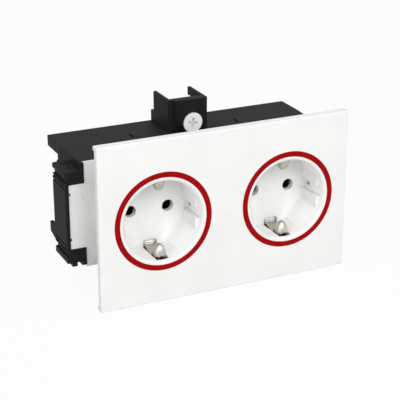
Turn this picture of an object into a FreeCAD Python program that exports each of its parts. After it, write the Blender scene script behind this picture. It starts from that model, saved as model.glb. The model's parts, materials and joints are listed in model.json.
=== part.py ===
import FreeCAD, Part
import math
import os

# A double earthed socket for 80 mm cable trunking.
# All sizes are in millimetres. X runs to the right, Y runs back into the trunking and Z runs up.
# The origin is the centre of the cover plate's front face.

# Gaps between pieces
nest_gap = 0.1
slide_gap = 0.3
thread_gap = 0.1

# How far pieces of one solid run into each other, how far a cut runs past a face,
# and how near counts as on a face
overlap = 1.0
tiny = 0.01

# Cover plate
plate_end_margin = 31.75
plate_height = 80.0
plate_thickness = 3.0
plate_edge_radius = 0.5
return_depth = 1.5
return_wall = 1.8
plate_leg_width = 5.0
plate_leg_wall = 1.4
plate_leg_z = 21.0
plate_leg_hook = 0.8

# Socket wells
socket_spacing = 64.5
well_radius = 19.6
well_depth = 17.6
well_lip_bevel = 0.8
dish_wall = 1.9
floor_thickness = 3.0
pin_spacing = 19.0
pin_hole_radius = 2.9
guide_rib_width = 5.0
guide_rib_reach = 2.1
guide_rib_start = 1.4
guide_rib_lead = 2.0
latch_slit_width = 1.0
latch_slit_length = 6.0
latch_slit_depth = 1.2
latch_slit_margin = 1.0
dish_leg_width = 6.0
dish_leg_wall = 1.6
dish_leg_length = 6.0
dish_leg_inset = 2.5

# Red collars
ring_width = 2.5
collar_wall = 1.15
collar_flange_depth = 3.4
collar_leg_width = 13.0

# Earth contacts
strip_thickness = 0.8
strip_width = 6.0
spring_width = 4.6
spring_radius = 3.4
spring_centre_depth = 5.5
spring_centre_z = 17.1
spring_foot_z = 20.0
earth_tab_z = 15.8
earth_arm_z = 17.9
earth_slot_side_gap = 0.15
earth_slot_start = 1.9
earth_tongue_width = 6.0
earth_tab_gap = 0.4
earth_ear_rise = 0.2

# White insert frame
insert_depth = 22.5
insert_thickness = 2.0
insert_end_margin = 29.95
insert_height_gap = 0.1
barrel_wall = 1.7
side_tab_length = 7.6
side_tab_half_height = 16.0
tab_notch_depth = 0.8
tab_notch_width = 1.4
tab_notch_z = 11.3
pip_size = 0.9
pip_height = 0.5
pip_from_edge = 1.2
pip_z = 8.8
post_radius = 2.8
post_length = 8.5
post_x = 21.5
post_z = 19.5
post_end_wall = 1.0
insert_leg_x = 28.0
insert_leg_width = 5.0
insert_leg_wall = 1.4
nib_root = 0.2
nib_drop = 0.4

# Black housing
housing_half_height = 26.0
housing_wall = 1.8
side_wall = 1.4
side_wall_bottom_rise = 1.3
side_wall_front = 22.0
side_wall_back = 52.0
rear_spread = 0.8
spread_start = 39.5
spread_end = 50.0
roof_back = 66.5
floor_back = 58.0
rear_lip_height = 5.2
roof_slit_width = 1.2
roof_slit_start = 45.0
roof_slit_length = 5.0
web_thickness = 1.8
web_end_gap = 0.1
web_gap = 0.2
rear_bead_radius = 1.26
rear_bead_overhang = 0.5
roof_rib_wall = 1.2
roof_rib_height = 1.4
roof_rib_margin = 2.0
roof_rib_places = [14.0, 45.0]
hook_x = 44.0
hook_width = 12.0
hook_drop = 5.0
hook_start = 38.0
hook_length = 8.0
hook_wall = 2.0
hook_slant = 3.5

# Side couplers
coupler_width = 7.9
coupler_depth = 17.0
coupler_wall = 1.6
cap_top = 22.3
cap_thickness = 2.4
cap_edge_bevel = 0.5
neck_inset = 1.1
shoulder_z = 17.2
groove_depth = 0.7
groove_width = 0.8
groove_lead = 0.8
groove_places = [14.2, 16.3]
tee_depth = 0.5
tee_bar_inset = 2.1
tee_bar_length = 4.6
tee_bar_width = 2.2
tee_stem_width = 1.2
tee_stem_length = 7.2
tee_stem_start = 4.0
foot_top = -9.8
foot_bottom = -14.8
foot_length = 6.8
foot_root_rise = 0.4
bottom_cap_thickness = 2.9
bottom_lip_drop = 1.9
bottom_lip_inset = 2.4
bottom_lip_width = 2.4
coupler_peg_size = 3.4
coupler_peg_end = 1.5
coupler_peg_z = 19.0

# Contact carriers
carrier_nose_depth = 21.6
carrier_nose_half_width = 15.0
carrier_nose_half_height = 13.5
carrier_flange_thickness = 2.4
carrier_flange_half_width = 26.5
carrier_flange_gap = 1.9
carrier_half_width = 19.5
carrier_half_height = 17.0
carrier_end_wall = 6.0
carrier_corner = 3.0
chamber_end_gap = 2.2
chamber_side_gap = 0.5

# Line and neutral contacts
contact_leaf = 0.8
contact_width = 5.0
contact_mouth = 3.0
contact_grip = 2.35
contact_root = 2.9
contact_start = 22.0
contact_grip_depth = 26.0
contact_end = 37.0
tail_thickness = 1.0
tail_end_length = 1.6

# Busbars
busbar_thickness = 1.0
busbar_width = 5.0
line_row_z = 9.0
earth_busbar_gap = 2.6
busbar_overlap = 1.0
terminal_tongue_width = 24.0

# Rear cover and terminal block
cover_end_margin = 21.75
cover_height_gap = 4.2
cover_rim = 1.6
cover_plate_gap = 0.8
cover_plate_thickness = 1.8
cover_bevel = 1.2
cover_boss_wall = 0.6
cover_rib_height = 1.2
cover_rib_width = 1.4
cover_rib_inset = 6.0
cover_rib_end_inset = 14.0
block_half_width = 16.0
block_half_height = 16.0
block_length = 12.6
block_wall = 1.5
block_back_wall = 5.0
block_bevel = 0.8
block_lip_width = 1.5
block_lip_inset = 2.5
wire_hole_radius = 1.5
wire_spacing = 14.0
release_slot_width = 3.4
release_slot_height = 1.0
release_slot_rise = 2.0
wire_hole_offset = -2.1
cell_half_height = 3.6
spring_leaf = 0.4
spring_leaf_width = 5.0
spring_bend_depth = 2.4
spring_bend_length = 1.2

# Fixing screws
screw_radius = 1.35
screw_hole_radius = 1.45
screw_head_radius = 2.5
screw_head_height = 1.8
screw_length = 11.0
screw_cross_share = 0.6
screw_cross_width = 0.7
screw_cross_depth = 0.9
cover_screw_x = 16.25
cover_screw_length = 12.0

# Clamp on the roof
bracket_half_width = 10.0
bracket_wall = 1.5
bracket_height = 16.0
bracket_front = 45.2
bracket_front_wall = 2.2
bracket_back = 63.0
bracket_base_thickness = 1.0
bracket_heel_back = 66.5
bracket_heel_height = 5.5
pad_front = 42.7
pad_start_x = -7.0
pad_edge_radius = 0.8
window_end_gap = 1.0
window_height = 12.0
collar_front = 39.6
collar_wall_clamp = 0.8
bracket_peg_width = 4.0
bracket_peg_x = 5.5
bracket_peg_start = 50.0
bracket_peg_length = 4.0
screw_axis_height = 5.8
clamp_screw_head_radius = 5.5
clamp_screw_head_front = 38.0
clamp_screw_shaft_radius = 2.4
clamp_screw_end = 65.5
cross_length = 5.2
cross_width = 1.1
cross_depth = 1.6
cross_turn = 9.0
retainer_radius = 4.2
retainer_thickness = 0.8
retainer_groove_radius = 1.9
retainer_mouth_share = 0.8
claw_length = 10.0
claw_height = 8.0
claw_travel = 6.0
claw_finger_length = 3.4
claw_finger_reach = 3.8
claw_finger_taper = 1.0
claw_relief = 3.0

# Sizes that follow from the ones above
plate_width = socket_spacing + 2 * plate_end_margin
insert_half_width = socket_spacing / 2 + insert_end_margin
insert_half_height = housing_half_height - insert_height_gap
cover_half_width = socket_spacing / 2 + cover_end_margin
side_wall_bottom = housing_half_height - side_wall_bottom_rise
dish_radius = well_radius + dish_wall
collar_bore = dish_radius + nest_gap
ring_radius = collar_bore + ring_width
collar_radius = collar_bore + collar_wall
barrel_bore = collar_radius + nest_gap
barrel_radius = barrel_bore + barrel_wall
floor_back_face = well_depth + floor_thickness
insert_back = insert_depth + insert_thickness
housing_front = insert_back + nest_gap
housing_inner_height = housing_half_height - housing_wall
carrier_flange_half_height = housing_inner_height - carrier_flange_gap
cover_half_height = housing_inner_height - cover_height_gap
side_inner = insert_half_width + nest_gap
side_outer = side_inner + side_wall
coupler_inner = side_outer + nest_gap
coupler_back = side_wall_front + coupler_depth
coupler_reach = coupler_inner + coupler_width
side_tab_reach = insert_half_width + side_tab_length
insert_leg_z = housing_inner_height - nest_gap - insert_leg_wall
carrier_flange_back = housing_front + carrier_flange_thickness
chamber_half_width = contact_mouth + contact_leaf + chamber_side_gap
chamber_depth = contact_end + contact_leaf + chamber_end_gap
chamber_half_height = contact_width / 2 + chamber_side_gap
carrier_back = chamber_depth + carrier_end_wall
web_back = carrier_back - web_end_gap
tail_back = carrier_back + tail_end_length
earth_busbar_depth = carrier_back + earth_busbar_gap
cover_plate_depth = earth_busbar_depth + busbar_thickness + cover_plate_gap
block_back = cover_plate_depth + block_length
bracket_top = housing_half_height + bracket_height
bracket_heel_top = housing_half_height + bracket_heel_height
window_top = housing_half_height + window_height
screw_axis_z = housing_half_height + screw_axis_height
claw_top = housing_half_height + claw_height
busbar_front = carrier_back + 2 * nest_gap
block_front = cover_plate_depth
head_back = pad_front - slide_gap
claw_back = clamp_screw_end - thread_gap
claw_front = claw_back - claw_length
channel_half_width = bracket_half_width - bracket_wall
window_front = claw_back - claw_finger_length - claw_travel - window_end_gap
dish_leg_outer = dish_radius - dish_leg_inset
cover_back = cover_plate_depth + cover_plate_thickness


def box(x0, x1, y0, y1, z0, z1):
    """A block between two corners, given in any order."""
    low = FreeCAD.Vector(min(x0, x1), min(y0, y1), min(z0, z1))
    return Part.makeBox(abs(x1 - x0), abs(y1 - y0), abs(z1 - z0), low)


def centred(x, z, width, height, y0, y1):
    """A block along Y, centred on a place in the XZ plane."""
    return box(x - width / 2, x + width / 2, y0, y1, z - height / 2, z + height / 2)


def rod(x, z, radius, y0, y1):
    """A cylinder along Y."""
    return Part.makeCylinder(radius, y1 - y0, FreeCAD.Vector(x, y0, z), FreeCAD.Vector(0, 1, 0))


def tube(x, z, inner, outer, y0, y1):
    return rod(x, z, outer, y0, y1).cut(rod(x, z, inner, y0, y1))


def prism(points, direction):
    """A polygon pushed along a direction."""
    corners = [FreeCAD.Vector(*point) for point in points]
    wire = Part.makePolygon(corners + corners[:1])
    return Part.Face(wire).extrude(FreeCAD.Vector(*direction))


def revolved(points, x):
    """A profile of (radius, depth) points, turned about a socket's axis."""
    corners = [FreeCAD.Vector(radius, depth, 0) for radius, depth in points]
    face = Part.Face(Part.makePolygon(corners + corners[:1]))
    solid = face.revolve(FreeCAD.Vector(0, 0, 0), FreeCAD.Vector(0, 1, 0), 360)
    solid.translate(FreeCAD.Vector(x, 0, 0))
    return solid


def filleted(solid, radius, chosen):
    """Round the edges whose middle passes the test."""
    return solid.makeFillet(radius, [edge for edge in solid.Edges if chosen(edge.CenterOfMass)])


def bevelled(solid, size, chosen):
    """Bevel the edges whose middle passes the test."""
    return solid.makeChamfer(size, [edge for edge in solid.Edges if chosen(edge.CenterOfMass)])


def mirrored_x(solid):
    return solid.mirror(FreeCAD.Vector(0, 0, 0), FreeCAD.Vector(1, 0, 0))


def mirrored_z(solid):
    return solid.mirror(FreeCAD.Vector(0, 0, 0), FreeCAD.Vector(0, 0, 1))


def joined(solids):
    result = solids[0].fuse(solids[1:]).removeSplitter()
    return result.Solids[0] if len(result.Solids) == 1 else result


sockets = {"left": -socket_spacing / 2, "right": socket_spacing / 2}


def cover_plate():
    half_width = plate_width / 2
    half_height = plate_height / 2
    plate = box(-half_width, half_width, 0, plate_thickness, -half_height, half_height)
    plate = filleted(plate, plate_edge_radius, lambda middle: middle.y < tiny)
    behind = plate_thickness + return_depth
    root = plate_thickness - overlap
    catch = insert_back + slide_gap
    for side in (-1, 1):
        edge = side * half_height
        plate = plate.fuse(box(-half_width, half_width, root, behind, edge, edge - side * return_wall))
        # A springy leg in the middle of each long edge hooks behind the insert frame.
        half_leg = plate_leg_width / 2
        inner = side * plate_leg_z
        outer = side * (plate_leg_z + plate_leg_wall)
        plate = plate.fuse(box(-half_leg, half_leg, root, catch + plate_leg_wall, inner, outer))
        nose = [(-half_leg, catch, outer),
                (-half_leg, catch, outer + side * plate_leg_hook),
                (-half_leg, catch + plate_leg_wall, outer)]
        plate = plate.fuse(prism(nose, (plate_leg_width, 0, 0)))
    for x in sockets.values():
        plate = plate.cut(rod(x, 0, ring_radius + nest_gap, -overlap, behind + overlap))
    return plate.removeSplitter()


def red_collar(x):
    """The ring that shows round the well, with four legs that reach back through the insert's barrel."""
    ring = tube(x, 0, collar_bore, ring_radius, 0, collar_flange_depth)
    sleeve = tube(x, 0, collar_bore, collar_radius, collar_flange_depth - overlap, insert_back)
    leg_span = 2 * ring_radius
    across = centred(x, 0, leg_span, collar_leg_width, 0, insert_back)
    upright = centred(x, 0, collar_leg_width, leg_span, 0, insert_back)
    return joined([ring, sleeve.common(across), sleeve.common(upright)])


def dish_shell(x):
    return revolved([(0, well_depth), (well_radius, well_depth), (well_radius, well_lip_bevel),
                     (well_radius + well_lip_bevel, 0), (dish_radius, 0), (dish_radius, floor_back_face),
                     (0, floor_back_face)], x)


def guide_rib(x, side):
    """The rib that lines the plug up."""
    face = x + side * (well_radius - guide_rib_reach)
    root = x + side * (well_radius + dish_wall / 2)
    bottom = -guide_rib_width / 2
    behind = well_depth + overlap
    outline = [(root, guide_rib_start, bottom), (face, guide_rib_start + guide_rib_lead, bottom),
               (face, behind, bottom), (root, behind, bottom)]
    return prism(outline, (0, 0, guide_rib_width))


def latch_slit(x, side):
    """The slit in a guide rib's face, beside the dish's latch."""
    face = x + side * (well_radius - guide_rib_reach)
    end = well_depth - latch_slit_margin
    low = side * latch_slit_width - latch_slit_width / 2
    return box(face - side * overlap, face + side * latch_slit_depth, end - latch_slit_length, end,
               low, low + latch_slit_width)


def socket_dish(x):
    additions = []
    cuts = []
    slot_half = strip_width / 2 + earth_slot_side_gap
    for side in (-1, 1):
        additions.append(guide_rib(x, side))
        cuts.append(latch_slit(x, side))
        # A leg behind each rib snaps into the contact carrier.
        outer = x + side * dish_leg_outer
        additions.append(box(outer, outer - side * dish_leg_wall, floor_back_face - overlap,
                             floor_back_face + dish_leg_length, -dish_leg_width / 2, dish_leg_width / 2))
        cuts.append(box(x - slot_half, x + slot_half, earth_slot_start, floor_back_face + overlap,
                        side * (earth_arm_z - earth_slot_side_gap), side * (dish_radius + overlap)))
        cuts.append(rod(x + side * pin_spacing / 2, 0, pin_hole_radius, well_depth - overlap,
                        floor_back_face + overlap))
    return dish_shell(x).fuse(additions).cut(cuts).removeSplitter()


def earth_spring(x):
    """The arched leaf that presses on the plug, drawn for the lower contact."""
    base = -spring_centre_z
    half = spring_width / 2
    direction = FreeCAD.Vector(1, 0, 0)
    start = FreeCAD.Vector(x - half, spring_centre_depth, base)
    arch = Part.makeCylinder(spring_radius, spring_width, start, direction)
    arch = arch.cut(Part.makeCylinder(spring_radius - strip_thickness, spring_width, start, direction))
    below = box(x - half - overlap, x + half + overlap, 0, insert_depth, base, 2 * base)
    legs = []
    for side in (-1, 1):
        edge = spring_centre_depth + side * spring_radius
        legs.append(box(x - half, x + half, edge, edge - side * strip_thickness,
                        base, -spring_foot_z - strip_thickness))
    return arch.cut(below).fuse(legs)


def earth_arm(x):
    """One arm of the earth contact, drawn for the lower side: spring, leaf, root, tab and the tab's ear."""
    half = strip_width / 2
    back = floor_back_face + nest_gap + strip_thickness
    tab_back = well_depth - nest_gap
    leaf_end = spring_centre_depth + spring_radius - strip_thickness
    arm_back = earth_arm_z + strip_thickness
    leaf = [(x - half, tab_back, -earth_arm_z),
            (x - half, leaf_end, -spring_foot_z),
            (x - half, leaf_end, -spring_foot_z - strip_thickness),
            (x - half, tab_back, -arm_back)]
    root = box(x - half, x + half, tab_back, back, -earth_arm_z, -arm_back)
    tab_foot = -earth_arm_z - earth_tab_gap
    tab = box(x - half, x + half, tab_back - strip_thickness, tab_back, -earth_tab_z, tab_foot)
    ear = box(x + half, x + half - strip_thickness, tab_back - 2 * strip_thickness, tab_back,
              -earth_tab_z + earth_ear_rise, -earth_arm_z)
    return [earth_spring(x), prism(leaf, (strip_width, 0, 0)), root, tab, ear]


def earth_contact(x):
    front = floor_back_face + nest_gap
    reach = earth_arm_z + strip_thickness
    bridge = centred(x, 0, strip_width, 2 * reach, front, front + strip_thickness)
    tongue = centred(x, 0, strip_thickness, earth_tongue_width, front, earth_busbar_depth + busbar_thickness)
    lower = earth_arm(x)
    upper = [mirrored_z(piece) for piece in lower]
    return joined([bridge, tongue] + lower + upper)


def outward(x, distance):
    """A distance from a socket's axis towards its end of the outlet."""
    return x + math.copysign(distance, x)


def frame_screw_place(x):
    """Of the two posts at each end of the insert, the upper one takes a screw."""
    return (outward(x, post_x), post_z)


def insert_frame():
    half_leg = plate_leg_width / 2 + nest_gap
    post_front = insert_depth - post_length
    through = insert_back + overlap
    plate = centred(0, 0, 2 * insert_half_width, 2 * insert_half_height, insert_depth, insert_back)
    additions = [centred(0, 0, 2 * side_tab_reach, 2 * side_tab_half_height, insert_depth, insert_back)]
    cuts = []
    for x in sockets.values():
        additions.append(rod(x, 0, barrel_radius, collar_flange_depth, insert_depth))
        cuts.append(rod(x, 0, barrel_bore, 0, through))
        for z in (-post_z, post_z):
            additions.append(rod(outward(x, post_x), z, post_radius, post_front, insert_depth))
        cuts.append(rod(*frame_screw_place(x), screw_hole_radius, post_front + post_end_wall, through))
    for side in (-1, 1):
        for z in (-tab_notch_z, tab_notch_z):
            cuts.append(centred(side * side_tab_reach, z, 2 * tab_notch_depth, tab_notch_width,
                                insert_depth - overlap, through))
        additions.append(centred(side * (insert_half_width + pip_from_edge), pip_z, pip_size, pip_size,
                                 insert_depth - pip_height, insert_depth + pip_height))
        cuts.append(box(-half_leg, half_leg, insert_depth - overlap, through, side * (plate_leg_z - nest_gap),
                        side * (plate_leg_z + plate_leg_wall + plate_leg_hook + nest_gap)))
        for x in (-insert_leg_x, insert_leg_x):
            additions += insert_leg(x, side)
    return plate.fuse(additions).cut(cuts).removeSplitter()


def insert_leg(x, side):
    """A leg that runs back under the roof or over the floor, with a nib in the housing's slit."""
    half = insert_leg_width / 2
    inner = side * insert_leg_z
    outer = side * (insert_leg_z + insert_leg_wall)
    end = roof_slit_start + roof_slit_length
    leg = box(x - half, x + half, insert_back - overlap, end, inner, outer)
    nib_half = roof_slit_width / 2 - nest_gap
    nib_start = roof_slit_start + nest_gap
    nib = prism([(x - nib_half, nib_start, outer - side * nib_root),
                 (x - nib_half, nib_start, side * (housing_half_height - nib_drop)),
                 (x - nib_half, end - nest_gap, outer)], (2 * nib_half, 0, 0))
    return [leg, nib]


def coupler_peg_y():
    return (side_wall_front + coupler_back) / 2


def housing_side(side):
    """One side wall: straight beside the coupler, then spreading a little towards the back."""
    inner = side_inner
    outer = side_outer
    spread = rear_spread
    points = [(inner, side_wall_front), (outer, side_wall_front), (outer, spread_start),
              (outer + spread, spread_end), (outer + spread, side_wall_back),
              (inner + spread, side_wall_back), (inner + spread, spread_end), (inner, spread_start)]
    wall = prism([(side * x, y, -side_wall_bottom) for x, y in points],
                 (0, 0, side_wall_bottom + housing_half_height))
    bead_z = shoulder_z + rear_bead_overhang
    bead_start = FreeCAD.Vector(side * (inner + spread + side_wall / 2), side_wall_back, -bead_z)
    bead = Part.makeCylinder(rear_bead_radius, 2 * bead_z, bead_start)
    past_inner = side * (inner - overlap)
    past_outer = side * (outer + overlap)
    tab_room = side_tab_half_height + nest_gap
    tab_end = insert_back + nest_gap
    cuts = [box(past_inner, past_outer, side_wall_front - overlap, tab_end, -tab_room, tab_room)]
    peg_half = coupler_peg_size / 2 + nest_gap
    for z in (-coupler_peg_z, coupler_peg_z):
        cuts.append(box(past_inner, past_outer, coupler_peg_y() - peg_half, coupler_peg_y() + peg_half,
                        z - peg_half, z + peg_half))
    return wall.cut(cuts).fuse(bead)


def housing_deck(side, back):
    """The roof or the floor, with the lips that turn in along its rear sides."""
    outer = side_outer
    wide = side_outer + rear_spread
    top = side * housing_half_height
    inside = side * housing_inner_height
    points = [(-outer, housing_front), (outer, housing_front), (outer, spread_start), (wide, spread_end),
              (wide, back), (-wide, back), (-wide, spread_end), (-outer, spread_start)]
    deck = prism([(x, y, top) for x, y in points], (0, 0, -side * housing_wall))
    pieces = []
    for sx in (-1, 1):
        edge = sx * wide
        pieces.append(box(edge, edge - sx * side_wall, spread_end, back, top, top - side * rear_lip_height))
        for place in roof_rib_places:
            x = sx * place
            pieces.append(box(x - roof_rib_wall / 2, x + roof_rib_wall / 2,
                              carrier_flange_back + roof_rib_margin, back - roof_rib_margin,
                              inside + side * nest_gap, inside - side * roof_rib_height))
    slits = []
    for x in (-insert_leg_x, insert_leg_x):
        slits.append(box(x - roof_slit_width / 2, x + roof_slit_width / 2, roof_slit_start,
                         roof_slit_start + roof_slit_length, inside - side * overlap, top + side * overlap))
    return deck.fuse(pieces).cut(slits)


def floor_hook(x):
    """A fixed hook under the floor that catches the lower edge of the trunking."""
    left = x - hook_width / 2
    top = nest_gap - housing_half_height
    bottom = -housing_half_height - hook_drop
    inner = bottom + hook_wall
    root = hook_start + hook_length
    bend = root - hook_slant
    points = [(left, root, top), (left, bend, bottom), (left, hook_start, bottom), (left, hook_start, inner),
              (left, bend - hook_wall, inner), (left, bend - hook_wall, top)]
    return prism(points, (hook_width, 0, 0))


def front_housing():
    web_height = 2 * (housing_inner_height + nest_gap)
    pieces = [housing_deck(-1, floor_back), housing_side(-1), housing_side(1),
              centred(0, 0, web_thickness, web_height, carrier_flange_back + web_gap, web_back)]
    pieces += [floor_hook(x) for x in (-hook_x, hook_x)]
    holes = [bracket_peg(side, nest_gap) for side in (-1, 1)]
    return housing_deck(1, roof_back).fuse(pieces).cut(holes).removeSplitter()


def coupler_outline():
    """The left coupler seen from the front: cap, neck, shoulders, neck and the lipped bottom cap."""
    outer = -coupler_reach
    inner = -coupler_inner
    neck = outer + neck_inset
    cap_low = cap_top - cap_thickness
    bottom = -cap_low - bottom_cap_thickness
    lip = bottom - bottom_lip_drop
    lip_left = outer + bottom_lip_inset
    lip_right = lip_left + bottom_lip_width
    return [(inner, cap_top), (outer, cap_top), (outer, cap_low), (neck, cap_low), (neck, shoulder_z),
            (outer, shoulder_z), (outer, -shoulder_z), (neck, -shoulder_z), (neck, -cap_low),
            (outer, -cap_low), (outer, bottom), (lip_left, bottom), (lip_left, lip),
            (lip_right, lip), (lip_right, bottom), (inner, bottom)]


def coupler_tee():
    """The shallow tee pressed into the cap."""
    low = cap_top - tee_depth
    high = cap_top + overlap
    stem_y = side_wall_front + tee_stem_start
    bar_y = stem_y + tee_stem_length
    bar_x = tee_bar_inset - coupler_reach
    stem_x = bar_x + tee_bar_length / 2
    return [box(bar_x, bar_x + tee_bar_length, bar_y, bar_y + tee_bar_width, low, high),
            box(stem_x - tee_stem_width / 2, stem_x + tee_stem_width / 2, stem_y, bar_y, low, high)]


def side_coupler():
    """The left coupler; the right one is its mirror image."""
    outer = -coupler_reach
    inner = -coupler_inner
    tab_room = side_tab_half_height + nest_gap
    outline = [(x, side_wall_front, z) for x, z in coupler_outline()]
    body = prism(outline, (0, coupler_depth, 0))
    body = bevelled(body, cap_edge_bevel,
                    lambda middle: middle.z > cap_top - tiny and middle.x < inner - tiny)
    cuts = coupler_tee()
    cuts.append(box(-side_tab_reach - nest_gap, inner + overlap, side_wall_front - overlap,
                    insert_back + nest_gap, -tab_room, tab_room))
    for place in groove_places:
        for z in (-place, place):
            cuts.append(box(outer - overlap, outer + groove_depth, side_wall_front + groove_lead,
                            coupler_back + overlap, z - groove_width / 2, z + groove_width / 2))
    pocket_front = insert_back + nest_gap + coupler_wall
    pocket_reach = shoulder_z - coupler_wall
    for side in (-1, 1):
        cuts.append(box(outer + coupler_wall, inner - coupler_wall, pocket_front, coupler_back + overlap,
                        side * coupler_wall / 2, side * pocket_reach))
    foot_root = coupler_back - overlap
    foot_end = coupler_back + foot_length
    foot = [(outer, foot_root, foot_top), (outer, foot_end, foot_top), (outer, foot_end, foot_bottom),
            (outer, foot_root, foot_root_rise - shoulder_z)]
    pegs = []
    half = coupler_peg_size / 2
    for z in (-coupler_peg_z, coupler_peg_z):
        pegs.append(box(inner - overlap, -side_inner + coupler_peg_end, coupler_peg_y() - half,
                        coupler_peg_y() + half, z - half, z + half))
    return body.cut(cuts).fuse([prism(foot, (coupler_wall, 0, 0))] + pegs).removeSplitter()


def contact_carrier(x):
    nose = centred(x, 0, 2 * carrier_nose_half_width, 2 * carrier_nose_half_height,
                   carrier_nose_depth, housing_front + overlap)
    flange = centred(x, 0, 2 * carrier_flange_half_width, 2 * carrier_flange_half_height,
                     housing_front, carrier_flange_back)
    body = centred(x, 0, 2 * carrier_half_width, 2 * carrier_half_height,
                   carrier_flange_back - overlap, carrier_back)
    body = filleted(body, carrier_corner, lambda middle: abs(abs(middle.x - x) - carrier_half_width) < tiny
                    and abs(abs(middle.z) - carrier_half_height) < tiny)
    before = carrier_nose_depth - overlap
    behind = carrier_back + overlap
    cuts = [centred(x, 0, strip_thickness + 2 * nest_gap, earth_tongue_width + 2 * nest_gap, before, behind)]
    for side in (-1, 1):
        pin_x = x + side * pin_spacing / 2
        leg_x = x + side * (dish_leg_outer - dish_leg_wall / 2)
        cuts.append(centred(pin_x, 0, 2 * chamber_half_width, 2 * chamber_half_height, before, chamber_depth))
        cuts.append(centred(pin_x, 0, tail_thickness + 2 * nest_gap, contact_width + 2 * nest_gap,
                            chamber_depth - overlap, behind))
        cuts.append(centred(leg_x, 0, dish_leg_wall + 2 * nest_gap, dish_leg_width + 2 * nest_gap,
                            before, carrier_flange_back + overlap))
    cuts.append(rod(*frame_screw_place(x), screw_hole_radius, housing_front - overlap,
                    carrier_flange_back + overlap))
    screw_tip = cover_back - cover_screw_length
    cuts.append(rod(outward(x, cover_screw_x), 0, screw_hole_radius, screw_tip - overlap, behind))
    return joined([nose, flange, body]).cut(cuts).removeSplitter()


def pin_contact(x):
    """A folded spring clip: two leaves that grip one plug pin, and a flat tail to the busbar."""
    bottom = contact_end + contact_leaf
    half_tail = tail_thickness / 2
    inside = [(contact_mouth, contact_start), (contact_grip, contact_grip_depth), (contact_root, contact_end)]
    outside = [(contact_mouth + contact_leaf, contact_start),
               (contact_grip + contact_leaf, contact_grip_depth),
               (contact_root + contact_leaf, bottom)]
    right = [(half_tail, tail_back), (half_tail, bottom)] + outside[::-1] + inside
    left = [(-across, depth) for across, depth in right[::-1]]
    low = -contact_width / 2
    return prism([(x + across, depth, low) for across, depth in right + left], (0, 0, contact_width))


def tail_slots(places, thickness, width, front):
    """Slots through a busbar for the tails of the contacts, with half the usual gap."""
    end = front + busbar_thickness + overlap
    return [centred(x, 0, thickness + nest_gap, width + nest_gap, front - overlap, end) for x in places]


def pin_busbar(places, row_z):
    """A bar that joins two contacts of one pole and feeds that pole's row of the terminal block."""
    half = busbar_width / 2
    back = busbar_front + busbar_thickness
    drop_end = -math.copysign(contact_width / 2 + busbar_overlap, row_z)
    bar = box(min(places) - half, max(places) + half, busbar_front, back, row_z - half, row_z + half)
    drops = [box(x - half, x + half, busbar_front, back, row_z, drop_end) for x in places]
    slots = tail_slots(places, tail_thickness, contact_width, busbar_front)
    return joined([bar, terminal_tongue(row_z, busbar_front)] + drops).cut(slots).removeSplitter()


def terminal_tongue(row_z, start):
    end = block_back - block_back_wall - nest_gap
    return centred(0, row_z, terminal_tongue_width, busbar_thickness, start, end)


def earth_busbar():
    length = socket_spacing + busbar_width
    height = earth_tongue_width + busbar_overlap
    bar = centred(0, 0, length, height, earth_busbar_depth, earth_busbar_depth + busbar_thickness)
    slots = tail_slots(sockets.values(), strip_thickness, earth_tongue_width, earth_busbar_depth)
    return joined([bar, terminal_tongue(0, earth_busbar_depth)]).cut(slots).removeSplitter()


def rear_cover():
    front = carrier_back + nest_gap
    back = cover_back
    tray = centred(0, 0, 2 * cover_half_width, 2 * cover_half_height, front, back)
    tray = bevelled(tray, cover_bevel, lambda middle: middle.y > back - tiny)
    hollow = centred(0, 0, 2 * (cover_half_width - cover_rim), 2 * (cover_half_height - cover_rim),
                     front - overlap, cover_plate_depth)
    window = centred(0, 0, 2 * (block_half_width + nest_gap), 2 * (block_half_height + nest_gap),
                     cover_plate_depth - overlap, back + overlap)
    bosses = []
    holes = []
    for x in sockets.values():
        place = (outward(x, cover_screw_x), 0)
        bosses.append(rod(*place, screw_head_radius + cover_boss_wall, front, back - overlap))
        holes.append(rod(*place, screw_hole_radius, front - overlap, back + overlap))
    # Raised ribs on the outside keep the two cables apart.
    ribs = []
    for side in (-1, 1):
        start = side * (block_half_width + cover_rib_inset)
        end = side * (cover_half_width - cover_rib_end_inset)
        for z in (cover_rib_inset - cover_half_height, cover_half_height - cover_rib_inset):
            ribs.append(box(start, end, back - overlap, back + cover_rib_height,
                            z - cover_rib_width / 2, z + cover_rib_width / 2))
    return tray.cut([hollow, window]).fuse(bosses + ribs).cut(holes).removeSplitter()


terminal_rows = {"line": line_row_z, "earth": 0.0, "neutral": -line_row_z}


def wire_places():
    return (-wire_spacing / 2, wire_spacing / 2)


def terminal_block():
    block = centred(0, 0, 2 * block_half_width, 2 * block_half_height, block_front, block_back)
    block = bevelled(block, block_bevel, lambda middle: middle.y > block_back - tiny)
    lip_front = earth_busbar_depth + busbar_thickness + slide_gap
    lip = centred(0, 0, 2 * (block_half_width + block_lip_width), 2 * (block_half_height - block_lip_inset),
                  lip_front, block_front)
    cell_back = block_back - block_back_wall
    before = cell_back - overlap
    behind = block_back + overlap
    cuts = []
    for z in terminal_rows.values():
        cuts.append(centred(0, z, 2 * (block_half_width - block_wall), 2 * cell_half_height,
                            lip_front - overlap, cell_back))
        for x in wire_places():
            cuts.append(rod(x, z + wire_hole_offset, wire_hole_radius, before, behind))
            cuts.append(centred(x, z + release_slot_rise, release_slot_width, release_slot_height,
                                before, behind))
    return block.fuse(lip).cut(cuts).removeSplitter()


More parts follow.
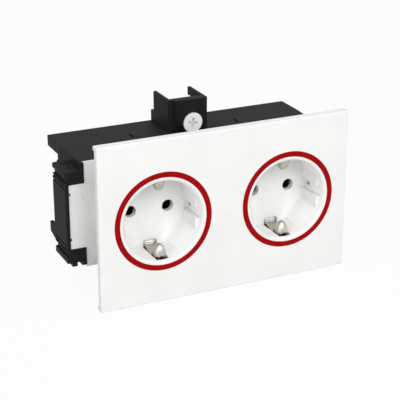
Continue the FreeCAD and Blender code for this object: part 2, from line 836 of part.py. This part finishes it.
def terminal_springs(row_z):
    """Two bent leaves that press the conductors against the row's tongue."""
    floor_z = row_z - cell_half_height + nest_gap
    leaf_z = floor_z + spring_leaf
    tip_z = row_z - busbar_thickness / 2 - nest_gap
    front = block_front + overlap
    back = block_back - block_back_wall - nest_gap
    tip = front + spring_bend_depth
    outline = [(front, floor_z), (back, floor_z), (back, leaf_z), (tip, tip_z),
               (tip - spring_leaf, tip_z - spring_leaf), (back - spring_bend_length, leaf_z), (front, leaf_z)]
    springs = []
    for x in wire_places():
        left = x - spring_leaf_width / 2
        springs.append(prism([(left, y, z) for y, z in outline], (spring_leaf_width, 0, 0)))
    return Part.makeCompound(springs)


def pan_screw(x, z, seat, length):
    """A screw whose head stands behind its seat, with a cross in the head."""
    back = seat + screw_head_height
    head = rod(x, z, screw_head_radius, seat, back)
    shaft = rod(x, z, screw_radius, seat - length, seat + overlap)
    arm = 2 * screw_head_radius * screw_cross_share
    cross = [centred(x, z, arm, screw_cross_width, back - screw_cross_depth, back + overlap),
             centred(x, z, screw_cross_width, arm, back - screw_cross_depth, back + overlap)]
    return joined([head, shaft]).cut(cross)


def frame_screws():
    return Part.makeCompound([pan_screw(*frame_screw_place(x), carrier_flange_back, screw_length)
                              for x in sockets.values()])


def cover_screws():
    return Part.makeCompound([pan_screw(outward(x, cover_screw_x), 0, cover_back, cover_screw_length)
                              for x in sockets.values()])


def bracket_peg(side, gap):
    """A peg under the bracket, or with a gap the hole for it in the roof."""
    return box(side * (bracket_peg_x - gap), side * (bracket_peg_x + bracket_peg_width + gap),
               bracket_peg_start - gap, bracket_peg_start + bracket_peg_length + gap,
               housing_inner_height - gap, housing_half_height + nest_gap)


def bracket_wall_side(x, points):
    return prism([(x, y, z) for y, z in points], (bracket_wall, 0, 0))


def clamp_bracket():
    half = bracket_half_width
    low = housing_half_height
    front_back = bracket_front + bracket_front_wall
    base = box(-half, half, bracket_front, bracket_heel_back, low, low + bracket_base_thickness)
    left = [(bracket_front, low), (bracket_heel_back, low), (bracket_heel_back, bracket_heel_top),
            (bracket_back, bracket_heel_top), (bracket_back, bracket_top), (bracket_front, bracket_top)]
    right = [(bracket_front, low), (window_front, low), (window_front, window_top),
             (bracket_back, window_top), (bracket_back, bracket_top), (bracket_front, bracket_top)]
    front = box(-half, half, bracket_front, front_back, low, bracket_top)
    pad = box(pad_start_x, half, pad_front, bracket_front + overlap, low, bracket_top)
    pad = filleted(pad, pad_edge_radius,
                   lambda middle: middle.y < pad_front + tiny and middle.x > half - tiny)
    bore = clamp_screw_head_radius + slide_gap
    collar = tube(0, screw_axis_z, bore, bore + collar_wall_clamp, collar_front, pad_front + nest_gap)
    collar = collar.cut(box(-half, half, 0, pad_front + overlap, 0, low))
    pieces = [base, bracket_wall_side(-half, left), bracket_wall_side(half - bracket_wall, right), front, pad,
              collar, bracket_peg(-1, 0), bracket_peg(1, 0)]
    hole = rod(0, screw_axis_z, clamp_screw_shaft_radius + thread_gap, 0, front_back + overlap)
    return joined(pieces).cut(hole).removeSplitter()


def clamp_screw():
    radius = clamp_screw_head_radius
    front = clamp_screw_head_front
    start = retainer_front()
    head = rod(0, screw_axis_z, radius, front, head_back)
    shaft = rod(0, screw_axis_z, clamp_screw_shaft_radius, head_back - overlap, clamp_screw_end)
    groove = tube(0, screw_axis_z, retainer_groove_radius, clamp_screw_shaft_radius + overlap,
                  start - nest_gap, start + retainer_thickness + nest_gap)
    arms = []
    for turn in (0, 90):
        arm = centred(0, screw_axis_z, cross_length, cross_width, front - overlap, front + cross_depth)
        arm.rotate(FreeCAD.Vector(0, 0, screw_axis_z), FreeCAD.Vector(0, 1, 0), cross_turn + turn)
        arms.append(arm)
    return joined([head, shaft]).cut([groove] + arms).removeSplitter()


def retainer_front():
    return bracket_front + bracket_front_wall + slide_gap


def screw_retainer():
    """The spring ring in the screw's groove that keeps it in the bracket."""
    front = retainer_front()
    back = front + retainer_thickness
    bore = retainer_groove_radius + nest_gap / 2
    ring = tube(0, screw_axis_z, bore, retainer_radius, front, back)
    mouth = retainer_groove_radius * retainer_mouth_share
    return ring.cut(box(-mouth, mouth, front - overlap, back + overlap,
                        screw_axis_z, screw_axis_z + retainer_radius + overlap))


def clamp_claw():
    """The claw on the screw's thread; its finger reaches out through the bracket's right-hand window."""
    low = housing_half_height + bracket_base_thickness + slide_gap
    half = channel_half_width - slide_gap
    side = half + overlap
    block = box(-half, half, claw_front, claw_back, low, claw_top)
    relief_end = claw_front + claw_relief
    relief = prism([(-side, claw_front, claw_top + overlap), (-side, relief_end, claw_top + overlap),
                    (-side, relief_end, claw_top), (-side, claw_front, claw_top - claw_relief)],
                   (2 * side, 0, 0))
    finger_front = claw_back - claw_finger_length
    tip = bracket_half_width + claw_finger_reach
    root = half - overlap
    finger = prism([(root, finger_front, low), (tip, finger_front, low),
                    (tip, claw_back - claw_finger_taper, low), (root, claw_back, low)],
                   (0, 0, claw_top - low))
    bore = rod(0, screw_axis_z, clamp_screw_shaft_radius + thread_gap,
               claw_front - overlap, claw_back + overlap)
    return block.cut(relief).fuse(finger).cut(bore).removeSplitter()


def socket_pieces(name, x):
    """The pieces of one socket, which are the same on both sides."""
    return {name + "_red_collar": red_collar(x),
            name + "_socket_dish": socket_dish(x),
            name + "_earth_contact": earth_contact(x),
            name + "_contact_carrier": contact_carrier(x),
            name + "_line_contact": pin_contact(x - pin_spacing / 2),
            name + "_neutral_contact": pin_contact(x + pin_spacing / 2)}


def all_pieces():
    pieces = {"cover_plate": cover_plate(), "insert_frame": insert_frame(), "front_housing": front_housing()}
    for name, x in sockets.items():
        pieces.update(socket_pieces(name, x))
    pieces["left_side_coupler"] = side_coupler()
    pieces["right_side_coupler"] = mirrored_x(pieces["left_side_coupler"])
    pieces["line_busbar"] = pin_busbar([x - pin_spacing / 2 for x in sockets.values()], line_row_z)
    pieces["neutral_busbar"] = pin_busbar([x + pin_spacing / 2 for x in sockets.values()], -line_row_z)
    pieces["earth_busbar"] = earth_busbar()
    pieces["rear_cover"] = rear_cover()
    pieces["terminal_block"] = terminal_block()
    for name, z in terminal_rows.items():
        pieces[name + "_terminal_springs"] = terminal_springs(z)
    pieces["frame_screws"] = frame_screws()
    pieces["cover_screws"] = cover_screws()
    pieces["clamp_bracket"] = clamp_bracket()
    pieces["clamp_screw"] = clamp_screw()
    pieces["screw_retainer"] = screw_retainer()
    pieces["clamp_claw"] = clamp_claw()
    return pieces


os.makedirs("parts", exist_ok=True)
for name, shape in all_pieces().items():
    shape.exportStep("parts/" + name + ".step")
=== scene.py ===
import bpy
import bmesh
import json
import math
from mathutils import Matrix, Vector


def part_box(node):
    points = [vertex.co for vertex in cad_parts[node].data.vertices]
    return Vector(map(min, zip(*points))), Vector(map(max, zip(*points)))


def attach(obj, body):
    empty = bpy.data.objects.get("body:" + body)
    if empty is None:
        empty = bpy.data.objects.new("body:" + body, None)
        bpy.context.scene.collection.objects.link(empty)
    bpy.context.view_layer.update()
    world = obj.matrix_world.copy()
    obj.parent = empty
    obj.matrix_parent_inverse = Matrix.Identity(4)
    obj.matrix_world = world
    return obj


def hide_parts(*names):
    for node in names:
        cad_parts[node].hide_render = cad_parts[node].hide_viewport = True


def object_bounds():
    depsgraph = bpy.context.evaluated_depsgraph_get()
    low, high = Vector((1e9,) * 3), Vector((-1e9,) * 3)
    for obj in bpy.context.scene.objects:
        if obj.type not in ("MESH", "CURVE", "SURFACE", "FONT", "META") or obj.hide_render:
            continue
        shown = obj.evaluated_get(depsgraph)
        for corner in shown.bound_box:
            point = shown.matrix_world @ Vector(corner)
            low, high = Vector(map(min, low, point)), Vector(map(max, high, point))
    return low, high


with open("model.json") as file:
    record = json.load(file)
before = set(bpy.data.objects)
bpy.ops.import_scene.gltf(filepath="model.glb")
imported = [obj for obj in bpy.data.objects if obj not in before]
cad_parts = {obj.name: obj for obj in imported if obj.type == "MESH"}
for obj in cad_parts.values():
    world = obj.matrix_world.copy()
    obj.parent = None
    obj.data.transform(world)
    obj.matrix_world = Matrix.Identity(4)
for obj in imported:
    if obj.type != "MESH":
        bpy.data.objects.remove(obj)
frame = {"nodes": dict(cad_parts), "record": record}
cad_box = [list(corner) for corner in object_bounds()]

# Lengths are in metres, in the part's own frame: X right, Y back into the trunking, Z up.
# The named angles are in degrees.

# The camera, as solved from the photograph
camera_place = (-0.2419, -0.4858, 0.2227)
camera_target = (-0.0141, 0.0, 0.0076)
camera_lens = 113.0

# The studio: the plate's lower edge stands on the floor, which shows the object's shadow only faintly.
white = (1.0, 1.0, 1.0, 1.0)
lamp_size = 0.9
sky_strength = 0.42
floor_half = 3.0
floor_gap = 0.0002
floor_colour = (0.6, 0.6, 0.6, 1.0)
floor_roughness = 0.9
floor_whiteness = 0.95

# How the finishes vary: most of a noise lies between noise_low and noise_high
noise_low = 0.3
noise_high = 0.7
edge_samples = 6
plastic_darkening = 0.05
plastic_patch = 0.02
plastic_gloss_change = 0.07
plastic_wave = 0.012
plastic_wave_depth = 0.00005
metal_specular = 0.5
metal_darkening = 0.18
metal_patch = 0.002
metal_glossier = 0.08
metal_duller = 0.1
metal_cloud = 0.0015
metal_line = 0.00006
metal_line_stretch = 12.0
metal_line_depth = 0.000004

# Earth contacts: the sprung sheet, with its tab, bend and pressed dome
sheet_thickness = 0.0006
tab_tip_z = 0.0158
tab_face_depth = 0.0169
bend_radius = 0.0009
bend_steps = 6
leaf_foot_z = 0.0178
leaf_shoulder = 0.0006
dome_foot_z = 0.0199
dome_top_z = 0.0135
dome_depth = 0.0056
dome_half_width = 0.0027
dome_front_gap = 0.0014
dome_steps = 24
dome_rise_power = 0.8
dome_crown_power = 2.6
dome_tip_narrowing = 0.6
dome_tip_power = 3
dome_tip_rise = 0.1
sheet_columns = 16
contact_crease_angle = 40

# Earth contacts: the flat strip behind the well's floor
strip_thickness = 0.0008
strip_rounding = 0.00012
strip_rounding_segments = 2
ear_tip_z = 0.0155
bridge_half_height = 0.0187
tongue_half_height = 0.003
well_floor_back = 0.0206

# Wells: the round wall and its rounded mouth. A cut stops short of a wall or reaches past it by clearing_gap.
well_radius = 0.0196
well_floor_depth = 0.0176
well_sides = 96
mouth_rounding = 0.0014
mouth_inset = 0.0002
mouth_steps = 8
dish_outer_radius = 0.0215
dish_crease_angle = 19
clearing_gap = 0.0001

# Guides in the wells: a flat on either side, with a channel down its middle and a latch hole in the channel
guide_flat_reach = 0.0175
guide_start = 0.0037
guide_channel_half = 0.0027
guide_seat = 0.0004
guide_steps = 12
latch_hole_depth = 0.0134
latch_hole_length = 0.0026
latch_hole_low = -0.0008
latch_hole_high = 0.0011

# The clamp screw: its head, the ridge of its right-hand thread, and the sleeve round the head
screw_axis_z = 0.0318
screw_head_back = 0.0426
screw_crease_angle = 30
head_share = 0.9
shaft_radius = 0.0024
thread_pitch = 0.0015
thread_start = 0.0472
thread_end = 0.065
thread_height = 0.00022
thread_foot = 0.0005
thread_seat = 0.0001
steps_per_turn = 24
sleeve_inner_radius = 0.0051
sleeve_outer_radius = 0.0058
sleeve_front = 0.0381
sleeve_back = 0.0415
sleeve_sides = 64


def node_of(owner, kind, **settings):
    """A new shader node of a material or world."""
    made = owner.node_tree.nodes.new(kind)
    for name, value in settings.items():
        setattr(made, name, value)
    return made


def link(owner, start, end):
    owner.node_tree.links.new(start, end)


def calculated(owner, operation, first, second):
    """One step of arithmetic on node values or plain numbers."""
    step = node_of(owner, "ShaderNodeMath", operation=operation)
    for socket, value in zip(step.inputs, (first, second)):
        if isinstance(value, float):
            socket.default_value = value
        else:
            link(owner, value, socket)
    return step.outputs["Value"]


def shader_of(material):
    return material.node_tree.nodes["Principled BSDF"]


def blank_material(name, metallic, specular):
    material = bpy.data.materials.new(name)
    material.use_nodes = True
    shader = shader_of(material)
    shader.inputs["Metallic"].default_value = metallic
    shader.inputs["Specular IOR Level"].default_value = specular
    return material


def noise(material, size, detail=3.0, stretch=(1.0, 1.0, 1.0)):
    """Noise in the object's own coordinates, with blotches of about this size, drawn out along the axes."""
    place = node_of(material, "ShaderNodeTexCoord")
    mapping = node_of(material, "ShaderNodeMapping")
    mapping.inputs["Scale"].default_value = [1.0 / (size * factor) for factor in stretch]
    texture = node_of(material, "ShaderNodeTexNoise")
    texture.inputs["Scale"].default_value = 1.0
    texture.inputs["Detail"].default_value = detail
    link(material, place.outputs["Object"], mapping.inputs["Vector"])
    link(material, mapping.outputs["Vector"], texture.inputs["Vector"])
    return texture.outputs["Fac"]


def spread(material, value, low, high):
    """Stretch a noise value over a range."""
    ramp = node_of(material, "ShaderNodeMapRange")
    ramp.inputs["From Min"].default_value = noise_low
    ramp.inputs["From Max"].default_value = noise_high
    ramp.inputs["To Min"].default_value = low
    ramp.inputs["To Max"].default_value = high
    link(material, value, ramp.inputs["Value"])
    return ramp.outputs["Result"]


def mottle(material, colour, change, size):
    """Vary the colour slowly between itself and a slightly darker tone."""
    mix = node_of(material, "ShaderNodeMix", data_type="RGBA")
    mix.inputs["A"].default_value = (*colour, 1.0)
    mix.inputs["B"].default_value = (*[channel * (1.0 - change) for channel in colour], 1.0)
    link(material, spread(material, noise(material, size), 0.0, 1.0), mix.inputs["Factor"])
    link(material, mix.outputs["Result"], shader_of(material).inputs["Base Color"])


def vary_gloss(material, value, lowest, highest):
    """Let a noise value set the roughness."""
    link(material, spread(material, value, lowest, highest), shader_of(material).inputs["Roughness"])


def relief(material, heights, edge):
    """Bump the surface by (height value, depth) pairs, over edges rounded to a small radius."""
    rounding = node_of(material, "ShaderNodeBevel", samples=edge_samples)
    rounding.inputs["Radius"].default_value = edge
    normal = rounding.outputs["Normal"]
    for height, depth in heights:
        bump = node_of(material, "ShaderNodeBump")
        bump.inputs["Distance"].default_value = depth
        link(material, height, bump.inputs["Height"])
        link(material, normal, bump.inputs["Normal"])
        normal = bump.outputs["Normal"]
    link(material, normal, shader_of(material).inputs["Normal"])


def plastic(name, colour, roughness, specular, grain, depth, edge):
    """A moulding: near-even colour, a fine spark-eroded grain and slow waves from shrinkage."""
    material = blank_material(name, 0.0, specular)
    mottle(material, colour, plastic_darkening, plastic_patch)
    fine = noise(material, grain, detail=4.0)
    waves = noise(material, plastic_wave, detail=1.0)
    vary_gloss(material, fine, roughness - plastic_gloss_change, roughness + plastic_gloss_change)
    relief(material, [(waves, plastic_wave_depth), (fine, depth)], edge)
    return material


def metal(name, colour, roughness, along, edge):
    """Rolled or drawn metal, with fine lines along one axis and cloudy patches in its gloss."""
    material = blank_material(name, 1.0, metal_specular)
    mottle(material, colour, metal_darkening, metal_patch)
    stretch = [metal_line_stretch if axis == along else 1.0 for axis in "xyz"]
    lines = noise(material, metal_line, detail=2.0, stretch=stretch)
    clouds = noise(material, metal_cloud, detail=3.0)
    vary_gloss(material, clouds, roughness - metal_glossier, roughness + metal_duller)
    relief(material, [(lines, metal_line_depth)], edge)
    return material


def finishes():
    """One finish for each material slot of the record."""
    return {
        "white_gloss": plastic("white_gloss", (0.89, 0.885, 0.872), roughness=0.38, specular=0.4,
                               grain=0.0003, depth=0.000003, edge=0.0003),
        "white_dish": plastic("white_dish", (0.89, 0.888, 0.872), roughness=0.4, specular=0.45,
                              grain=0.0005, depth=0.0000007, edge=0.0004),
        "white_frame": plastic("white_frame", (0.87, 0.865, 0.85), roughness=0.5, specular=0.35,
                               grain=0.00015, depth=0.00001, edge=0.0002),
        # The screw's white is lighter than the other whites: partly its own tone, partly painted light that
        # makes up for the shade its head sits in
        "white_screw": plastic("white_screw", (0.93, 0.93, 0.925), roughness=0.34, specular=0.4,
                               grain=0.0002, depth=0.000003, edge=0.0003),
        "red_collar": plastic("red_collar", (0.35, 0.001, 0.0015), roughness=0.55, specular=0.06,
                              grain=0.0002, depth=0.000006, edge=0.0002),
        "black_housing": plastic("black_housing", (0.016, 0.016, 0.0163), roughness=0.6, specular=0.06,
                                 grain=0.00018, depth=0.000012, edge=0.0003),
        "black_carrier": plastic("black_carrier", (0.008, 0.008, 0.008), roughness=0.65, specular=0.07,
                                 grain=0.00018, depth=0.00001, edge=0.0003),
        "nickel_contact": metal("nickel_contact", (0.55, 0.545, 0.5), roughness=0.4, along="y", edge=0.00015),
        "spring_steel": metal("spring_steel", (0.5, 0.5, 0.5), roughness=0.3, along="y", edge=0.0001),
        "zinc_steel": metal("zinc_steel", (0.56, 0.56, 0.54), roughness=0.34, along="x", edge=0.0002),
        "brass": metal("brass", (0.72, 0.5, 0.2), roughness=0.3, along="x", edge=0.0001),
    }


def dress(finish_of):
    """Give every CAD node the finish of its slot."""
    for part in frame["record"]["subparts"]:
        mesh = frame["nodes"][part["node"]].data
        mesh.materials.clear()
        mesh.materials.append(finish_of[part["material_slot"]])


def box_and_centre(node):
    """A node's lowest and highest corners, and the middle of its width."""
    low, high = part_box(node)
    return low, high, (low.x + high.x) / 2


def placed(name, data):
    """A new object in the scene."""
    made = bpy.data.objects.new(name, data)
    bpy.context.scene.collection.objects.link(made)
    return made


def object_of(name, form):
    """An object with the finished mesh data."""
    mesh = bpy.data.meshes.new(name)
    form.to_mesh(mesh)
    form.free()
    return placed(name, mesh)


def solid_of(name, form):
    """An object of closed solids, whose faces are all turned outwards."""
    bmesh.ops.recalc_face_normals(form, faces=form.faces)
    return object_of(name, form)


def surface(made, finish, crease_angle):
    """One finish all over, shaded smooth across edges flatter than the crease angle."""
    made.data.materials.clear()
    made.data.materials.append(finish)
    made.data.shade_smooth()
    made.data.set_sharp_from_angle(angle=math.radians(crease_angle))


def join_rings(form, near, far):
    """Faces between two rings that have as many corners."""
    for corners in zip(near, far, far[1:] + far[:1], near[1:] + near[:1]):
        form.faces.new(corners)


def add_stack(form, rings):
    """A closed solid between its first and last ring of points."""
    drawn = [[form.verts.new(point) for point in ring] for ring in rings]
    form.faces.new(drawn[0])
    form.faces.new(drawn[-1][::-1])
    for near, far in zip(drawn, drawn[1:]):
        join_rings(form, near, far)


def prisms(name, outlines, depths):
    """Closed prisms along the depth, one for each outline of (x, z) points."""
    form = bmesh.new()
    for outline in outlines:
        add_stack(form, [[(x, depth, z) for x, z in outline] for depth in depths])
    return solid_of(name, form)


def cut_away(made, cutter):
    """Cut one object out of another, and throw the cutter away."""
    cutting = made.modifiers.new("cut", "BOOLEAN")
    cutting.operation = "DIFFERENCE"
    cutting.solver = "EXACT"
    cutting.object = cutter
    bpy.context.view_layer.update()
    shape = bpy.data.meshes.new_from_object(made.evaluated_get(bpy.context.evaluated_depsgraph_get()))
    made.modifiers.clear()
    made.data = shape
    bpy.data.objects.remove(cutter)


def bend_stations(half_width):
    """The tab's tip and the bend under it, as (depth, foot level, half width, lift)."""
    stations = [(tab_face_depth, tab_tip_z, half_width, 0.0)]
    bend_depth = tab_face_depth - bend_radius
    for step in range(bend_steps + 1):
        turn = step / bend_steps * math.pi / 2
        stations.append((bend_depth + bend_radius * math.cos(turn),
                         leaf_foot_z - bend_radius * (1 - math.sin(turn)), half_width, 0.0))
    return stations


def dome_stations(front):
    """The pressed dome, from its back to its front foot, which is narrower and rises a little."""
    stations = []
    for step in range(dome_steps + 1):
        turn = step / dome_steps * math.pi
        past_top = max(0.0, 2 * step / dome_steps - 1)
        tip_rise = dome_tip_rise * past_top
        rise = math.sin(turn) ** dome_rise_power * (1 - tip_rise) + tip_rise
        stations.append((front + dome_depth * (1 + math.cos(turn)) / 2, dome_foot_z,
                         dome_half_width * (1 - dome_tip_narrowing * past_top ** dome_tip_power),
                         (dome_foot_z - dome_top_z) * rise))
    return stations


def arm_stations(low, high):
    """Stations of one arm, from the tab's tip to the dome's front foot."""
    half_width = (high.x - low.x) / 2
    front = low.y + dome_front_gap
    shoulder = (front + dome_depth + leaf_shoulder, dome_foot_z, half_width, 0.0)
    return [*bend_stations(half_width), shoulder, *dome_stations(front)]


def sprung_sheet(form, centre, side, stations):
    """A bent strip with a pressed dome, drawn as a grid."""
    rows = []
    for depth, foot, half_width, lift in stations:
        row = []
        for column in range(sheet_columns + 1):
            across = 2 * column / sheet_columns - 1
            crown = (1 - abs(across) ** dome_crown_power) ** 0.5
            place = (centre + across * half_width, depth, side * (foot - lift * crown))
            row.append(form.verts.new(place))
        rows.append(row)
    for near, far in zip(rows, rows[1:]):
        for column in range(sheet_columns):
            corners = [near[column], near[column + 1], far[column + 1], far[column]]
            form.faces.new(corners if side < 0 else corners[::-1])


def block(form, first, second):
    """A block between two corners, given in any order, whose edges a modifier rounds."""
    low = Vector([min(pair) for pair in zip(first, second)])
    size = Vector([max(pair) for pair in zip(first, second)]) - low
    for corner in bmesh.ops.create_cube(form, size=1.0)["verts"]:
        corner.co = [(corner.co[axis] + 0.5) * size[axis] + low[axis] for axis in range(3)]


def contact_piece(name, form, node, finish):
    """A nickel piece that stands for an earth contact."""
    made = object_of(name, form)
    surface(made, finish, contact_crease_angle)
    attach(made, "outlet")
    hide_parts(node)
    return made


def sprung_arms(node, finish):
    """The two arms of an earth contact, with their tabs, bends and pressed domes."""
    low, high, centre = box_and_centre(node)
    form = bmesh.new()
    for side in (-1, 1):
        sprung_sheet(form, centre, side, arm_stations(low, high))
    made = contact_piece(node + "_arms", form, node, finish)
    thickening = made.modifiers.new("thickness", "SOLIDIFY")
    thickening.thickness = sheet_thickness
    thickening.offset = 0.0


def contact_strip(node, finish):
    """The flat strip behind the well's floor, the ears beside the tabs, and the tongue to the busbar."""
    low, high, centre = box_and_centre(node)
    bridge_back = well_floor_back + strip_thickness
    tab_front = tab_face_depth - sheet_thickness / 2
    tab_back = tab_face_depth + sheet_thickness / 2
    form = bmesh.new()
    for side in (-1, 1):
        block(form, (low.x, tab_front, side * leaf_foot_z),
              (high.x, bridge_back, side * bridge_half_height))
        block(form, (high.x - strip_thickness, tab_back, side * leaf_foot_z),
              (high.x, tab_face_depth - 2 * strip_thickness, side * ear_tip_z))
    block(form, (low.x, bridge_back - strip_thickness, -bridge_half_height),
          (high.x, bridge_back, bridge_half_height))
    block(form, (centre - strip_thickness / 2, bridge_back, -tongue_half_height),
          (centre + strip_thickness / 2, high.y, tongue_half_height))
    made = contact_piece(node + "_strip", form, node, finish)
    rounding = made.modifiers.new("rounding", "BEVEL")
    rounding.width = strip_rounding
    rounding.segments = strip_rounding_segments


def dish_piece(made, node, finish):
    """Finish a white piece that stands for a dish."""
    surface(made, finish, dish_crease_angle)
    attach(made, "outlet")
    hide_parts(node)


def well_ring(centre, depth, radius):
    turns = [step / well_sides * 2 * math.pi for step in range(well_sides)]
    return [(centre + radius * math.cos(turn), depth, radius * math.sin(turn)) for turn in turns]


def well_clearing(centre, front):
    """What is cut from a well: a mouth that opens in a quarter round, then a cylinder to the floor."""
    radius = well_radius - clearing_gap
    inset_radius = well_radius - mouth_inset
    rings = [well_ring(centre, front - clearing_gap, inset_radius + mouth_rounding)]
    for step in range(mouth_steps + 1):
        turn = (1 - step / mouth_steps) * math.pi / 2
        rings.append(well_ring(centre, front + mouth_rounding * (1 - math.sin(turn)),
                               max(radius, inset_radius + mouth_rounding * (1 - math.cos(turn)))))
    rings.append(well_ring(centre, well_floor_depth - clearing_gap, radius))
    form = bmesh.new()
    add_stack(form, rings)
    return solid_of("clearing", form)


def latch_holes(centre):
    """Two small holes through the wall, each deep in the channel of its side."""
    outlines = []
    for side in (-1, 1):
        inner = centre + side * guide_flat_reach
        outer = centre + side * (dish_outer_radius + clearing_gap)
        outlines.append([(inner, latch_hole_low), (outer, latch_hole_low),
                         (outer, latch_hole_high), (inner, latch_hole_high)])
    return prisms("latch_holes", outlines, (latch_hole_depth, latch_hole_depth + latch_hole_length))


def open_dish(node, finish):
    """The dish with its well cleared to the round wall, a rounded mouth, and its latch holes."""
    low, high, centre = box_and_centre(node)
    made = placed(node + "_shell", frame["nodes"][node].data.copy())
    cut_away(made, well_clearing(centre, low.y))
    cut_away(made, latch_holes(centre))
    dish_piece(made, node, finish)


def guide_outline(centre, side, up):
    """A slice of the round wall between the flat and the wall, above or below the channel."""
    outer = well_radius + guide_seat
    top = math.acos(guide_flat_reach / well_radius)
    bottom = math.asin(guide_channel_half / outer)
    turns = [bottom + (top - bottom) * step / guide_steps for step in range(guide_steps + 1)]
    arc = [(centre + side * outer * math.cos(turn), up * outer * math.sin(turn)) for turn in turns]
    flat_x = centre + side * guide_flat_reach
    return [(flat_x, up * guide_channel_half), *arc, (flat_x, up * outer * math.sin(top))]


def guide_flats(node, finish):
    """The four guide pieces of a well, in pairs on either side of a channel."""
    centre = box_and_centre(node)[2]
    outlines = [guide_outline(centre, side, up) for side in (-1, 1) for up in (-1, 1)]
    made = prisms(node + "_guides", outlines, (guide_start, well_floor_depth + clearing_gap))
    dish_piece(made, node, finish)


def screw_point(turn, depth, radius):
    """A point round the screw's axis, from straight above it."""
    return radius * math.sin(turn), depth, screw_axis_z + radius * math.cos(turn)


def thread_rings():
    """A three-sided ridge that winds along the shaft, fading into it at both ends."""
    steps = round((thread_end - thread_start) / thread_pitch * steps_per_turn)
    foot_radius = shaft_radius - thread_seat
    rings = []
    for step in range(steps + 1):
        turns = step / steps_per_turn
        depth = thread_start + turns * thread_pitch
        fading = min(1.0, turns, (steps - step) / steps_per_turn)
        top_radius = foot_radius + (thread_seat + thread_height) * fading
        rings.append([screw_point(turns * 2 * math.pi, depth - thread_foot / 2, foot_radius),
                      screw_point(turns * 2 * math.pi, depth, top_radius),
                      screw_point(turns * 2 * math.pi, depth + thread_foot / 2, foot_radius)])
    return rings


def screw_piece(finish):
    """The clamp screw with its thread, and the head as wide as the photograph shows it."""
    form = bmesh.new()
    form.from_mesh(frame["nodes"]["clamp_screw"].data)
    for vertex in form.verts:
        if vertex.co.y < screw_head_back:
            vertex.co.x *= head_share
            vertex.co.z = screw_axis_z + (vertex.co.z - screw_axis_z) * head_share
    add_stack(form, thread_rings())
    made = solid_of("clamp_screw_threaded", form)
    surface(made, finish, screw_crease_angle)
    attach(made, "clamp_screw")
    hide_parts("clamp_screw")


def head_sleeve(finish):
    """The thin black sleeve in the bracket's collar that surrounds the screw head."""
    profile = [(sleeve_front, sleeve_inner_radius), (sleeve_front, sleeve_outer_radius),
               (sleeve_back, sleeve_outer_radius), (sleeve_back, sleeve_inner_radius)]
    form = bmesh.new()
    rings = []
    for side in range(sleeve_sides):
        turn = side / sleeve_sides * 2 * math.pi
        rings.append([form.verts.new(screw_point(turn, depth, radius)) for depth, radius in profile])
    for near, far in zip(rings, rings[1:] + rings[:1]):
        join_rings(form, near, far)
    made = solid_of("clamp_head_sleeve", form)
    surface(made, finish, screw_crease_angle)
    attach(made, "outlet")


def aim(made, place, target):
    """Put a camera or lamp at a place, turned towards a target."""
    made.location = place
    made.rotation_mode = "QUATERNION"
    made.rotation_quaternion = (Vector(target) - Vector(place)).to_track_quat("-Z", "Y")


def camera():
    data = bpy.data.cameras.new("camera")
    data.lens = camera_lens
    made = placed("camera", data)
    aim(made, camera_place, camera_target)
    bpy.context.scene.camera = made


def soft_box(name, place, power):
    """A square lamp that faces the object."""
    data = bpy.data.lights.new(name, "AREA")
    data.size = lamp_size
    data.energy = power
    aim(placed(name, data), place, (0.0, 0.0, 0.0))


def seen_directly(owner):
    """1 where the camera, a reflection or a ray through glass meets the surface, and 0 for its own light."""
    path = node_of(owner, "ShaderNodeLightPath")
    either = calculated(owner, "MAXIMUM", path.outputs["Is Camera Ray"], path.outputs["Is Glossy Ray"])
    return calculated(owner, "MAXIMUM", either, path.outputs["Is Transmission Ray"])


def whiten_where_seen(owner, plain, glow_kind, output, share):
    """Mix white into the look of a world or floor where it is seen directly, and not into its light."""
    glow = node_of(owner, glow_kind)
    glow.inputs["Color"].default_value = white
    factor = calculated(owner, "MULTIPLY", seen_directly(owner), share)
    mix = node_of(owner, "ShaderNodeMixShader")
    for socket, value in zip(mix.inputs, (factor, plain.outputs[0], glow.outputs[0])):
        link(owner, value, socket)
    link(owner, mix.outputs[0], owner.node_tree.nodes[output].inputs["Surface"])


def sky():
    world = bpy.data.worlds.new("studio")
    bpy.context.scene.world = world
    world.use_nodes = True
    plain = world.node_tree.nodes["Background"]
    plain.inputs["Color"].default_value = white
    plain.inputs["Strength"].default_value = sky_strength
    whiten_where_seen(world, plain, "ShaderNodeBackground", "World Output", 1.0)


def floor_finish():
    material = bpy.data.materials.new("floor")
    material.use_nodes = True
    shader = shader_of(material)
    shader.inputs["Base Color"].default_value = floor_colour
    shader.inputs["Roughness"].default_value = floor_roughness
    whiten_where_seen(material, shader, "ShaderNodeEmission", "Material Output", floor_whiteness)
    return material


def floor():
    """A wide pale floor under the plate's lower edge, which melts into the white background."""
    level = cad_box[0][2] - floor_gap
    corners = [(-floor_half, -floor_half, level), (floor_half, -floor_half, level),
               (floor_half, floor_half, level), (-floor_half, floor_half, level)]
    mesh = bpy.data.meshes.new("floor")
    mesh.from_pydata(corners, [], [(0, 1, 2, 3)])
    mesh.materials.append(floor_finish())
    placed("floor", mesh)


finish_of = finishes()
dress(finish_of)
for contact in ("left_earth_contact", "right_earth_contact"):
    sprung_arms(contact, finish_of["nickel_contact"])
    contact_strip(contact, finish_of["nickel_contact"])
for dish in ("left_socket_dish", "right_socket_dish"):
    open_dish(dish, finish_of["white_dish"])
    guide_flats(dish, finish_of["white_dish"])
screw_piece(finish_of["white_screw"])
head_sleeve(finish_of["black_housing"])
camera()
sky()
floor()
soft_box("key", (0.12, -1.25, 0.95), power=13.8)
soft_box("fill", (-1.2, -0.7, 0.4), power=6.0)
soft_box("top", (-0.2, 0.3, 1.5), power=4.0)
bpy.context.scene.view_settings.view_transform = "Standard"
